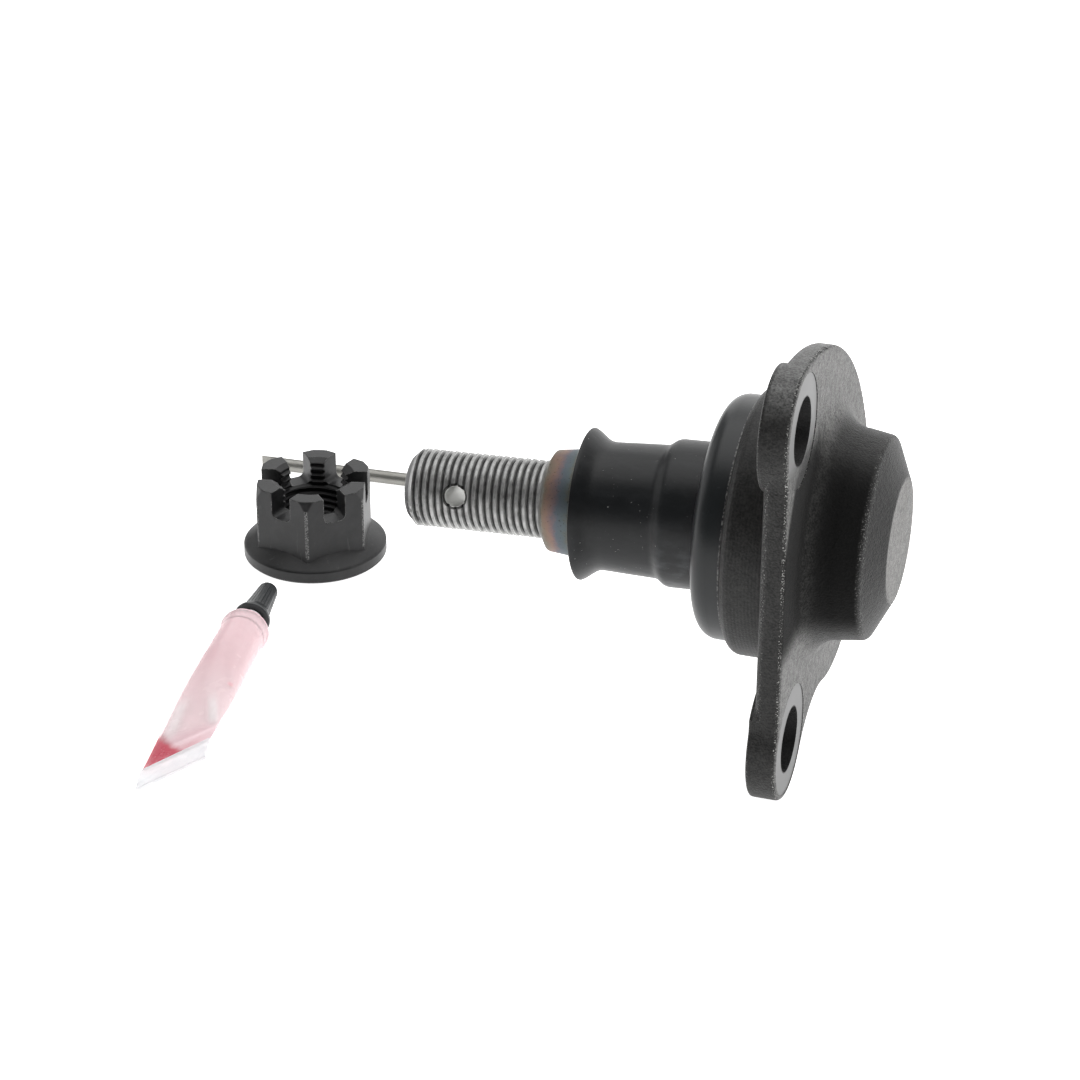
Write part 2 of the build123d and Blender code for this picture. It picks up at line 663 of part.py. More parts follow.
with BuildPart() as tube_shoulder:
    with BuildSketch(tube_plane):
        with BuildLine():
            skirt_radius = TUBE_RADIUS - TUBE_WALL - SHOULDER_CLEARANCE
            Polyline(
                (-SHOULDER_TOP, SHOULDER_TOP_RADIUS),
                (-SHOULDER_TOP, NOZZLE_RADIUS),
                (NOZZLE_LENGTH, NOZZLE_RADIUS),
                (NOZZLE_LENGTH, NOZZLE_BORE_RADIUS),
                (-TUBE_FRONT, NOZZLE_BORE_RADIUS),
                (-SHOULDER_SKIRT, skirt_radius - TUBE_WALL),
                (-SHOULDER_SKIRT, skirt_radius),
                (SHOULDER_CLEARANCE - TUBE_FRONT, skirt_radius),
                (SHOULDER_CLEARANCE - TUBE_FRONT, TUBE_RADIUS),
            )
            cone_start = (SHOULDER_EDGE - TUBE_FRONT, TUBE_RADIUS - SHOULDER_EDGE / 2)
            TangentArc((SHOULDER_CLEARANCE - TUBE_FRONT, TUBE_RADIUS), cone_start, tangent=(1, 0))
            Line(cone_start, (-SHOULDER_TOP, SHOULDER_TOP_RADIUS))
        make_face()
    revolve(axis=tube_axis)
tube_shoulder.part.label = "tube_shoulder"
export_step(tube_shoulder.part, "parts/tube_shoulder.step")

with BuildPart() as tube_cap:
    with BuildSketch(tube_plane) as cap_profile:
        with BuildLine():
            Polyline(
                (0, NOZZLE_RADIUS + CAP_CLEARANCE),
                (0, CAP_COLLAR_RADIUS),
                (CAP_COLLAR_HEIGHT, CAP_COLLAR_RADIUS),
                (CAP_COLLAR_HEIGHT + CAP_COLLAR_RADIUS - CAP_BASE_RADIUS, CAP_BASE_RADIUS),
                (CAP_LENGTH, CAP_TIP_RADIUS),
                (CAP_LENGTH, 0),
                (CAP_BORE_DEPTH, 0),
                (CAP_BORE_DEPTH, NOZZLE_RADIUS + CAP_CLEARANCE),
                close=True,
            )
        make_face()
    revolve(axis=tube_axis)
    fillet(tube_cap.edges().sort_by(tube_axis)[-1], radius=CAP_ROUNDING)
tube_cap.part.label = "tube_cap"
export_step(tube_cap.part, "parts/tube_cap.step")
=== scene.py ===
from math import cos, pi, radians, sin, sqrt

import bpy
from mathutils import Matrix, Vector


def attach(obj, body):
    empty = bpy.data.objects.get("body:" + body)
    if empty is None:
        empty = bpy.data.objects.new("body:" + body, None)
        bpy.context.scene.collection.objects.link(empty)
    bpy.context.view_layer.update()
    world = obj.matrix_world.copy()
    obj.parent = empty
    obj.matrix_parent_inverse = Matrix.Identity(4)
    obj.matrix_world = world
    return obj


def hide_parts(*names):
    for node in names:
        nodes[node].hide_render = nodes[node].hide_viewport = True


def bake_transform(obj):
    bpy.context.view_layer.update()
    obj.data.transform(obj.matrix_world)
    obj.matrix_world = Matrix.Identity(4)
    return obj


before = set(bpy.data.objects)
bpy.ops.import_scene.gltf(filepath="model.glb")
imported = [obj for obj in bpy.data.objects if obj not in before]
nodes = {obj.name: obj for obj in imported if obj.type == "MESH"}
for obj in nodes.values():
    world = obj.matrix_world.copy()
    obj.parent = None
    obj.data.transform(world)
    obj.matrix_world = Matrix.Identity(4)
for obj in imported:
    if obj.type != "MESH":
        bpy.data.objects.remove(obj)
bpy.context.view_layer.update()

# Sizes are in millimetres. Pieces are made about their own Z, and brought to metres when they are set in place
MILLIMETRE = 0.001
FLOOR_Z = -46.0
FLOOR_GAP = 0.06
UP = Vector((0, 0, 1))

# The housing, along +X and out from it
UPPER_EAR = (0, -25.5, 33.7)
LOWER_EAR = (0, -25.5, -33.7)
HOLE_RADIUS = 6.6
SPOTFACE_RADIUS = 11.2
FLANGE_BACK = 0.9
FLANGE_FACE = 6.0
BOSS_RADIUS = 20.5
BOSS_SHOULDER = 16.9
BOSS_END = 20.7

STUD_YAW = radians(2.05)
STUD_PITCH = radians(1.64)
STUD_AXIS = Vector((-cos(STUD_YAW) * cos(STUD_PITCH), -sin(STUD_YAW) * cos(STUD_PITCH), -sin(STUD_PITCH)))
STUD_ACROSS = Vector((sin(STUD_YAW), -cos(STUD_YAW), 0))
BALL_CENTRE = Vector((0, 0, 0))
HOUSING_AXIS = Vector((-1, 0, 0))
HOUSING_BACK = Vector((1, 0, 0))
FOLD_AXIS = (STUD_AXIS + HOUSING_AXIS).normalized()

# The stud, from the centre of its ball
BALL_RADIUS = 14.0
BALL_FLAT = 13.2
NECK_RADIUS = 7.5
SHANK_RADIUS = 11.05
TAPER_START = 44.3
TAPER_END = 50.0
TAPER_END_RADIUS = 10.41
THREAD_START = 51.5
THREAD_CREST = 8.0
THREAD_ROOT = 7.1
THREAD_PITCH = 1.5
STUD_END = 80.3
STUD_CHAMFER = 2.0
CROSS_HOLE = 69.0
CROSS_HOLE_RADIUS = 2.1
# The cross hole's direction is measured from STUD_ACROSS towards the upper side
CROSS_HOLE_TURN = radians(17.8)
DRILL_AXIS = STUD_ACROSS * cos(CROSS_HOLE_TURN) + STUD_AXIS.cross(STUD_ACROSS) * sin(CROSS_HOLE_TURN)

# The boot: its roll turns about a ring, given as (distance from the ball's centre, radius)
FOLD = (14.4, 16.3)
FOLD_INNER = 1.2
FOLD_OUTER = 2.5
SHROUD_MOUTH = 16.3

# The castle nut, from the floor up
NUT_CENTRE = Vector((-120.0, 39.9, FLOOR_Z))
NUT_HEIGHT = 19.0
NUT_CORNER = 24.0 / sqrt(3)
NUT_TURN = radians(-105.5)
NUT_FLANGE_RADIUS = 16.1
NUT_CROWN_START = 13.555
NUT_BORE = 7.3
NUT_TAP_CREST = 8.02
NUT_TAP_ROOT = 7.2
NUT_SLOT_WIDTH = 5.1
NUT_SLOT_FLOOR = 13.0
NUT_SLOT_CORNER = 1.3

# The tube, from the mouth of its shoulder back to the tail
TUBE_RADIUS = 5.35
TUBE_MOUTH = Vector((-117.9, -2.7, FLOOR_Z + TUBE_RADIUS))
TUBE_HEADING = radians(96.1)
TUBE_AHEAD = Vector((cos(TUBE_HEADING), sin(TUBE_HEADING), 0))
TUBE_SIDE = Vector((sin(TUBE_HEADING), -cos(TUBE_HEADING), 0))
TUBE_FRONT = 5.0
TUBE_FLAT_START = 16.0
TUBE_FLAT_END = 53.6
TUBE_TAIL_DROP = 1.2
SEAL_LENGTH = 8.4
SEAL_HALF_WIDTH = 8.0
SEAL_HALF_THICKNESS = 0.4
SEAL_TWIST = radians(28.0)
SEAL_SKEW = radians(12.7)

CAP_SIDES = 96
CAP_RIBS = (3.0, 12.6)


# Modelling


def start_fresh():
    if bpy.context.object and bpy.context.object.mode == "EDIT":
        bpy.ops.object.mode_set(mode="OBJECT")
    bpy.ops.object.select_all(action="DESELECT")


def work_on(piece):
    start_fresh()
    piece.select_set(True)
    bpy.context.view_layer.objects.active = piece


def move(piece, matrix):
    piece.matrix_world = matrix
    work_on(piece)
    bpy.ops.object.transform_apply(location=True, rotation=True, scale=True)


def edit(piece):
    work_on(piece)
    bpy.ops.object.mode_set(mode="EDIT")
    bpy.ops.mesh.select_all(action="SELECT")


def face_outwards(piece):
    edit(piece)
    bpy.ops.mesh.normals_make_consistent(inside=False)
    bpy.ops.object.mode_set(mode="OBJECT")
    return piece


def apply(piece, kind, **settings):
    work_on(piece)
    modifier = piece.modifiers.new(kind.title(), kind)
    for name, setting in settings.items():
        setattr(modifier, name, setting)
    bpy.ops.object.modifier_apply(modifier=modifier.name)


def carve(piece, tool, operation="DIFFERENCE"):
    apply(piece, "BOOLEAN", operation=operation, solver="EXACT", object=tool)
    bpy.data.objects.remove(tool)


def block(name, size, centre):
    start_fresh()
    bpy.ops.mesh.primitive_cube_add(size=1, location=centre, scale=size)
    piece = bpy.context.object
    piece.name = name
    bpy.ops.object.transform_apply(location=True, scale=True)
    return piece


def turned(name, profile, sides=96, ring=False):
    """A shape turned about Z through (height, radius) pairs. A ring's profile ends where it started."""
    start_fresh()
    height, radius = profile[0]
    fill = "NOTHING" if ring else "NGON"
    bpy.ops.mesh.primitive_circle_add(vertices=sides, radius=radius, fill_type=fill, location=(0, 0, height))
    piece = bpy.context.object
    piece.name = name
    bpy.ops.object.transform_apply(location=True)
    bpy.ops.object.mode_set(mode="EDIT")
    for next_height, next_radius in profile[1:] + profile[:1] * ring:
        bpy.ops.mesh.extrude_region_move(TRANSFORM_OT_translate={"value": (0, 0, next_height - height)})
        widening = next_radius / radius
        bpy.ops.transform.resize(value=(widening, widening, 1), center_override=(0, 0, next_height))
        height, radius = next_height, next_radius
    bpy.ops.mesh.select_all(action="SELECT")
    bpy.ops.mesh.remove_doubles(threshold=0.0005)
    return face_outwards(piece)


def threaded(name, crest, root, start, end):
    """A rod with a screw thread along it: one tooth is drawn point by point, swept round and trimmed flat."""
    start_fresh()
    bpy.ops.mesh.primitive_plane_add(size=1)
    piece = bpy.context.object
    piece.name = name
    bpy.ops.object.mode_set(mode="EDIT")
    bpy.ops.mesh.merge(type="CENTER")
    bpy.ops.transform.translate(value=(root, 0, start - 2 * THREAD_PITCH))
    depth = crest - root
    # Steps along the rod and out from it, as shares of the pitch and of the thread's depth
    tooth = ((0.06, 0), (0.19, 0.8), (0.09, 0.2), (0.32, 0), (0.09, -0.2), (0.19, -0.8), (0.06, 0))
    for rise, out in tooth:
        step = (out * depth, 0, rise * THREAD_PITCH)
        bpy.ops.mesh.extrude_region_move(TRANSFORM_OT_translate={"value": step})
    bpy.ops.object.mode_set(mode="OBJECT")
    turns = int((end - start) / THREAD_PITCH) + 4
    sweep = {"axis": "Z", "angle": 2 * pi, "screw_offset": THREAD_PITCH, "iterations": turns}
    apply(piece, "SCREW", **sweep, steps=64, render_steps=64)
    edit(piece)
    bpy.ops.mesh.remove_doubles(threshold=0.002)
    for height, keep_above in ((start, True), (end, False)):
        bpy.ops.mesh.select_all(action="SELECT")
        bpy.ops.mesh.bisect(
            plane_co=(0, 0, height), plane_no=(0, 0, 1), use_fill=True,
            clear_inner=keep_above, clear_outer=not keep_above,
        )
    return face_outwards(piece)


def set_in_place(piece, origin, z_axis, x_axis, sharp=35):
    """Turns a piece from its own axes to the frame's, and smooths it up to a sharp angle."""
    z_axis = z_axis.normalized()
    x_axis = (x_axis - z_axis * x_axis.dot(z_axis)).normalized()
    turn = Matrix((x_axis, z_axis.cross(x_axis), z_axis)).transposed().to_4x4()
    move(piece, Matrix.Translation(origin * MILLIMETRE) @ turn @ Matrix.Scale(MILLIMETRE, 4))
    bpy.ops.object.shade_smooth_by_angle(angle=radians(sharp))


def dress(piece, finish):
    piece.data.materials.clear()
    piece.data.materials.append(finish)


# Finishes: colours are linear, and the limits of masks are millimetres or shares

# Where the Mix and VectorMath nodes keep their colours and numbers
MIX_SHARE, MIX_FIRST, MIX_SECOND = 0, 6, 7
MIX_COLOUR = 2
VECTOR_NUMBER = 1


class Reading:
    """A number, colour or direction that varies over a surface. Sums on readings add Math nodes."""

    def __init__(self, finish, socket):
        self.finish = finish
        self.socket = socket

    def maths(self, operation, *others):
        return self.finish.add("Math", {"operation": operation}, dict(enumerate((self, *others))))

    def __add__(self, other):
        return self.maths("ADD", other)

    def __sub__(self, other):
        return self.maths("SUBTRACT", other)

    def __rsub__(self, other):
        return self.finish.add("Math", {"operation": "SUBTRACT"}, {0: other, 1: self})

    def __mul__(self, other):
        return self.maths("MULTIPLY", other)

    def __truediv__(self, other):
        return self.maths("DIVIDE", other)

    def __abs__(self):
        return self.maths("ABSOLUTE")

    __radd__ = __add__

    def stronger(self, *others):
        """The largest of these readings."""
        largest = self
        for other in others:
            largest = largest.maths("MAXIMUM", other)
        return largest

    def at_most(self, limit):
        return self.maths("MINIMUM", limit)

    def between(self, low, high):
        """0 below low, 1 above high, smooth from one to the other; turned round where low is the larger."""
        limits = {"Value": self, "From Min": low, "From Max": high}
        return self.finish.add("MapRange", {"interpolation_type": "SMOOTHSTEP"}, limits)


class Finish:
    """A material built node by node, in millimetres of the piece's own frame."""

    def __init__(self, name):
        self.material = bpy.data.materials.new(name)
        self.material.use_nodes = True
        self.material.node_tree.nodes.clear()
        metres = self.add("TexCoord", output="Object")
        self.place = self.vector("MULTIPLY", metres, (1 / MILLIMETRE,) * 3)

    def add(self, kind, settings=None, values=None, output=0):
        tree = self.material.node_tree
        node = tree.nodes.new("ShaderNode" + kind)
        for name, setting in (settings or {}).items():
            if name == "stops":
                stops = node.color_ramp.elements
                while len(stops) < len(setting):
                    stops.new(1)
                for stop, (position, colour) in zip(stops, setting):
                    stop.position = position
                    stop.color = (*colour, 1)
            else:
                setattr(node, name, setting)
        for name, value in (values or {}).items():
            socket = node.inputs[name]
            if isinstance(value, Reading):
                tree.links.new(value.socket, socket)
            elif socket.type == "RGBA":
                socket.default_value = (*value, 1)
            else:
                socket.default_value = value
        return Reading(self, node.outputs[output])

    def vector(self, operation, first, second, output=0):
        return self.add("VectorMath", {"operation": operation}, {0: first, 1: second}, output)

    def tint(self, share, first, second):
        """From the first colour to the second one, as share goes from 0 to 1."""
        values = {MIX_SHARE: share, MIX_FIRST: first, MIX_SECOND: second}
        return self.add("Mix", {"data_type": "RGBA"}, values, MIX_COLOUR)

    def bands(self, value, stops):
        return self.add("ValToRGB", {"stops": stops}, {0: value})

    def grain(self, size, detail, stretch=(1, 1, 1)):
        """Noise from 0 to 1 with lumps about size across."""
        across = self.vector("MULTIPLY", self.place, stretch)
        values = {"Vector": across, "Scale": 1 / size, "Detail": detail, "Roughness": 0.55}
        return self.add("TexNoise", {}, values)

    def edges(self, radius, low=0.02, high=0.2):
        """1 on convex and hollow edges, fading out a radius away from them."""
        rounded = self.add("Bevel", {"samples": 6}, {"Radius": radius * MILLIMETRE})
        return (1 - self.dot(rounded, self.add("NewGeometry", output="Normal"))).between(low, high)

    def dot(self, first, second):
        return self.vector("DOT_PRODUCT", first, second, VECTOR_NUMBER)

    def along(self, axis, origin=(0, 0, 0)):
        """How far along an axis."""
        return self.dot(self.vector("SUBTRACT", self.place, tuple(origin)), tuple(axis))

    def out(self, axis, origin=(0, 0, 0)):
        """How far out from an axis."""
        from_origin = self.vector("SUBTRACT", self.place, tuple(origin))
        along = self.dot(from_origin, tuple(axis))
        return (self.dot(from_origin, from_origin) - along * along).stronger(0.0).maths("SQRT")

    def near(self, point, radius):
        """1 at a point, fading out a radius away from it."""
        away = self.vector("DISTANCE", self.place, tuple(point), VECTOR_NUMBER)
        return away.between(radius, radius * 0.4)

    def facing(self, direction):
        """1 where the surface faces a direction, -1 where it faces away."""
        return self.dot(self.add("NewGeometry", output="Normal"), tuple(direction))

    def surface(self, colour, height=None, depth=0.1, rounding=0, **values):
        """The finished surface. Height is from 0 to 1 and depth is its size in millimetres."""
        named = {}
        for name, value in values.items():
            named[name.replace("_", " ").title().replace("Ior", "IOR")] = value
        if height is not None:
            bump = {"Strength": 1.0, "Distance": depth * MILLIMETRE, "Height": height}
            if rounding:
                bump["Normal"] = self.add("Bevel", {"samples": 8}, {"Radius": rounding * MILLIMETRE})
            named["Normal"] = self.add("Bump", {}, bump)
        shader = self.add("BsdfPrincipled", {}, {"Base Color": colour, **named})
        tree = self.material.node_tree
        tree.links.new(shader.socket, tree.nodes.new("ShaderNodeOutputMaterial").inputs["Surface"])
        return self.material


def forged_iron():
    iron = Finish("forged_iron")
    along, out = iron.along(HOUSING_BACK), iron.out(HOUSING_BACK)
    height = iron.along(UP)
    facing = iron.facing(HOUSING_BACK)
    pebbles = iron.grain(0.42, 3)
    lumps = iron.grain(1.6, 3)
    clouds = iron.grain(11, 3)
    specks = iron.grain(0.3, 2).between(0.57, 0.65)
    mottle = (pebbles * 0.65 + lumps * 0.35).between(0.34, 0.68)
    # The bolt holes, whose walls are painted near black as painted shade, and the machined rings round them
    from_hole = iron.out(HOUSING_BACK, UPPER_EAR).at_most(iron.out(HOUSING_BACK, LOWER_EAR))
    bore = from_hole.between(HOLE_RADIUS + 0.25, HOLE_RADIUS + 0.06)
    machined = from_hole.between(SPOTFACE_RADIUS + 0.15, SPOTFACE_RADIUS - 0.1) * (1 - bore)
    machined = machined * along.between(FLANGE_FACE - 0.26, FLANGE_FACE - 0.2)
    machined = machined * along.between(FLANGE_FACE - 0.04, FLANGE_FACE - 0.1)
    # Painted shade: the lower half of the upper ring is painted dark, where it lies in shade
    machined = machined * (1 - height.between(12, 18) * height.between(30.5, 26) * 0.85)
    # Painted light: the flange's face round the boss and a ragged disc on the boss's end, which face the
    # bright side, are painted paler as painted highlight; the hollow round the boss's root is painted near
    # black as painted shade
    face = facing.between(0.6, 0.95) * along.between(FLANGE_FACE - 0.6, FLANGE_FACE - 0.1)
    face = face * along.between(FLANGE_FACE + 6, FLANGE_FACE + 2) * (1 - machined)
    wavering = height + lumps * 3.0
    hollow = out.between(39.5, 37) * iron.along((0, -1, 0)).between(4, 14)
    hollow = hollow * along.between(FLANGE_FACE - 0.6, FLANGE_FACE) * along.between(17.5, 16)
    hollow = hollow * wavering.between(-13, -6) * wavering.between(31, 25)
    # Painted highlight: a paler band along the fillet round the boss
    fillet_highlight = out.between(BOSS_RADIUS + 1, BOSS_RADIUS + 2.8) * out.between(BOSS_RADIUS + 6, BOSS_RADIUS + 3.8)
    fillet_highlight = fillet_highlight * along.between(FLANGE_FACE + 0.2, FLANGE_FACE + 0.8)
    cone = along.between(BOSS_SHOULDER - 0.5, BOSS_SHOULDER + 0.3)
    cone = cone * along.between(BOSS_END - 0.1, BOSS_END - 0.5)
    end = along.between(BOSS_END - 0.3, BOSS_END - 0.05) * (out + lumps * 2.0).between(14.0, 13.2)
    # The turned stud side, and the flange's rim, whose top is painted paler as painted highlight from the
    # overhead light
    turned_side = along.between(FLANGE_BACK - 0.05, FLANGE_BACK - 0.3)
    rim = abs(facing).between(0.7, 0.3) * out.between(28, 30)
    rim = rim * along.between(FLANGE_BACK - 0.6, FLANGE_BACK + 0.1)
    crown = rim * iron.facing((0, 0.3, 0.95)).between(0.15, 0.75)
    # Wear shows as specks along the rounded edges of the rim and round the shoulder of the boss
    worn_edge = abs(facing).between(0.2, 0.45) * abs(facing).between(0.95, 0.75) * out.between(27.5, 29)
    worn_edge = worn_edge * (0.35 + facing.between(-0.3, 0.3) * 0.65)
    worn_shoulder = along.between(BOSS_SHOULDER - 0.8, BOSS_SHOULDER - 0.3)
    worn_shoulder = worn_shoulder * along.between(BOSS_SHOULDER + 1.3, BOSS_SHOULDER + 0.3)
    worn_shoulder = worn_shoulder * out.between(BOSS_RADIUS - 2, BOSS_RADIUS - 1)
    worn = (worn_edge + worn_shoulder * 0.3 + iron.edges(0.5) * 0.8).at_most(1.0) * specks
    worn = worn * clouds.between(0.3, 0.55)
    colour = iron.tint(mottle, (0.004, 0.004, 0.0038), (0.02, 0.0197, 0.0188))
    colour = iron.tint(rim * mottle * 0.35, colour, (0.032, 0.0315, 0.03))
    # Painted highlight on the flange's face
    colour = iron.tint(face * (0.15 + mottle * 0.85), colour, (0.165, 0.163, 0.158))
    # Painted highlight on the rim's top
    colour = iron.tint(crown * (0.25 + mottle * 0.6), colour, (0.19, 0.19, 0.187))
    # Painted shade in the hollow round the boss's root
    colour = iron.tint(hollow * 0.97, colour, (0.003, 0.003, 0.0028))
    # Painted highlight along the fillet round the boss
    colour = iron.tint(fillet_highlight * mottle * 0.5, colour, (0.05, 0.05, 0.048))
    colour = iron.tint(cone * 0.45, colour, (0.006, 0.006, 0.006))
    colour = iron.tint(machined, colour, (0.15, 0.15, 0.15))
    # Painted highlight on the boss's end
    colour = iron.tint(end * (0.2 + mottle * 0.8), colour, (0.17, 0.166, 0.158))
    colour = iron.tint(worn * 0.9, colour, (0.45, 0.445, 0.43))
    # Painted shade: the bolt holes' walls are painted near black
    colour = iron.tint(bore * 0.9, colour, (0.004, 0.004, 0.004))
    roughness = 0.46 + clouds * 0.12 - machined * 0.04 - turned_side * 0.04 + hollow * 0.42
    casting = (pebbles * 0.6 + lumps * 0.4) * (1 - machined * 0.94) * (1 - turned_side * 0.6)
    tooling = (along * 9.0).maths("SINE") * 0.03 * turned_side
    relief = casting + tooling
    return iron.surface(colour, relief, 0.42, roughness=roughness, metallic=0.1, specular_ior_level=0.3)


def shroud_coat():
    coat = Finish("shroud_coat")
    orange_peel = coat.grain(0.9, 2)
    clouds = coat.grain(9, 3)
    scuffs = coat.grain(1.1, 3, (0.25, 1, 1)).between(0.66, 0.8)
    chips = coat.edges(0.4) * coat.grain(0.7, 2).between(0.55, 0.7)
    # The cut edge of the pressing is bare in places, next to the housing
    rim = coat.along(HOUSING_AXIS).between(9.98, 9.88) * coat.grain(0.5, 2).between(0.38, 0.62)
    colour = coat.tint(clouds, (0.0055, 0.0066, 0.0074), (0.0105, 0.0123, 0.0135))
    colour = coat.tint(scuffs * 0.25, colour, (0.07, 0.075, 0.08))
    colour = coat.tint((chips + rim * 0.5).at_most(1.0) * 0.8, colour, (0.3, 0.3, 0.29))
    roughness = 0.3 + clouds * 0.1 + scuffs * 0.1
    return coat.surface(colour, orange_peel, 0.012, roughness=roughness, metallic=0.0, specular_ior_level=0.32)


def boot_rubber():
    rubber = Finish("boot_rubber")
    along = rubber.along(STUD_AXIS)
    skin = rubber.grain(0.35, 3)
    clouds = rubber.grain(6, 3)
    dust = rubber.grain(0.55, 2).between(0.7, 0.74) * rubber.grain(4, 2).between(0.48, 0.66)
    # The underside of the shoulder is painted paler, partly as scuffed bloom and partly as painted sheen from
    # the floor below; the shroud's mouth has nicked the rubber all round, and that nicked band is painted near
    # black as painted shade of the gap there
    rubbed = rubber.facing((0, -0.55, -0.83)).between(0.35, 0.85)
    rubbed = rubbed * along.between(29, 25) * along.between(14, 18)
    bloom = rubber.grain(2.6, 4, (0.5, 1, 1)).between(0.42, 0.75)
    around = rubber.along(UP).maths("ARCTAN2", rubber.along((0, 1, 0)))
    nicks_and_gap_shade = (around * 34.0 + clouds * 9.0).maths("SINE").between(-0.1, 0.4)
    nicks_and_gap_shade = nicks_and_gap_shade * along.between(SHROUD_MOUTH - 0.4, SHROUD_MOUTH - 0.2)
    nicks_and_gap_shade = nicks_and_gap_shade * along.between(SHROUD_MOUTH + 0.45, SHROUD_MOUTH + 0.25)
    colour = rubber.tint(clouds, (0.0035, 0.004, 0.0046), (0.0068, 0.0078, 0.0088))
    # Scuffed bloom, with painted sheen on the underside of the shoulder
    colour = rubber.tint(bloom * (0.12 + rubbed * 0.75), colour, (0.045, 0.048, 0.052))
    colour = rubber.tint(dust * 0.8, colour, (0.32, 0.32, 0.31))
    # Painted shade: the gap at the shroud's mouth
    colour = rubber.tint(nicks_and_gap_shade * 0.9, colour, (0.0005, 0.0005, 0.0005))
    creases = rubber.grain(2.4, 3, (0.35, 1, 1)) * 0.5 + skin * 0.12 - nicks_and_gap_shade * 0.6
    roughness = 0.36 + clouds * 0.1 + dust * 0.2 + nicks_and_gap_shade * 0.4
    return rubber.surface(colour, creases, 0.08, roughness=roughness, specular_ior_level=0.27)


def stud_steel():
    steel = Finish("stud_steel")
    along, out = steel.along(STUD_AXIS), steel.out(STUD_AXIS)
    clouds = steel.grain(5, 3)
    smears = steel.grain(1.6, 3)
    fine = steel.grain(0.3, 2)
    lathe = steel.grain(0.25, 2, (1, 0.06, 0.06))
    # The cross hole is bright and rough inside, with a dark countersink round its mouth
    from_drill = steel.out(DRILL_AXIS, STUD_AXIS * CROSS_HOLE)
    drilled = from_drill.between(CROSS_HOLE_RADIUS + 0.1, CROSS_HOLE_RADIUS + 0.02)
    sunk = from_drill.between(CROSS_HOLE_RADIUS + 0.65, CROSS_HOLE_RADIUS + 0.5)
    sunk = sunk * out.between(THREAD_ROOT + 0.05, THREAD_ROOT + 0.2)
    # On the thread the grooves are painted dark as painted shade, and the crests are grey between two bright
    # lines of painted highlight
    on_thread = along.between(THREAD_START - 0.5, THREAD_START + 0.5)
    tip = along.between(STUD_END - 0.1, STUD_END - 0.01)
    groove_shade = out.between(THREAD_ROOT + 0.4, THREAD_ROOT + 0.05) * on_thread * (1 - tip) * (1 - drilled)
    crest = out.between(THREAD_CREST - 0.22, THREAD_CREST - 0.12) * on_thread
    crest = crest * out.between(THREAD_CREST - 0.005, THREAD_CREST - 0.05)
    # The taper took heat: straw, brown, violet, blue and grey-green from the thread towards the boot
    uneven = (clouds - 0.5) * 3.0 + (smears - 0.5) * 2.0 + (fine - 0.5) * 0.8
    heat = (TAPER_END + 0.4 - along + uneven) / 6.2
    tinted = steel.bands(
        heat,
        [
            (0.0, (0.17, 0.165, 0.15)),
            (0.12, (0.16, 0.13, 0.1)),
            (0.3, (0.19, 0.125, 0.1)),
            (0.46, (0.14, 0.105, 0.11)),
            (0.6, (0.085, 0.1, 0.118)),
            (0.8, (0.085, 0.105, 0.112)),
            (0.92, (0.1, 0.102, 0.088)),
            (1.0, (0.08, 0.08, 0.07)),
        ],
    )
    # Oil has gathered on the underside of the stud's end
    oil = smears.between(0.42, 0.56) * along.between(STUD_END - 5.8, STUD_END - 3.8)
    oil = oil * steel.facing((-0.2, -0.5, -0.84)).between(0.05, 0.6)
    colour = steel.tint(smears.between(0.3, 0.7), (0.2, 0.2, 0.197), (0.36, 0.36, 0.355))
    # Painted shade in the thread's grooves
    colour = steel.tint(groove_shade * (0.55 + smears * 0.4), colour, (0.06, 0.06, 0.062))
    # Painted highlight: two bright lines along each crest
    colour = steel.tint(crest * smears.between(0.2, 0.45) * 0.85, colour, (0.6, 0.6, 0.59))
    colour = steel.tint(oil * 0.85, colour, (0.02, 0.02, 0.02))
    shank = along.between(TAPER_END + 1.2, TAPER_END + 0.7)
    colour = steel.tint(shank, colour, tinted)
    colour = steel.tint(sunk * 0.9, colour, (0.035, 0.035, 0.034))
    colour = steel.tint(drilled, colour, (0.66, 0.66, 0.645))
    pits = steel.grain(0.45, 2).between(0.6, 0.74) * shank
    colour = steel.tint(pits * 0.6, colour, (0.03, 0.03, 0.025))
    roughness = 0.42 + smears * 0.12 + groove_shade * 0.1 + shank * 0.06 + drilled * 0.1
    relief = lathe * 0.3 + fine * 0.3 - pits * 0.4 + drilled * smears * 1.5
    return steel.surface(colour, relief, 0.035, roughness=roughness, metallic=0.85)


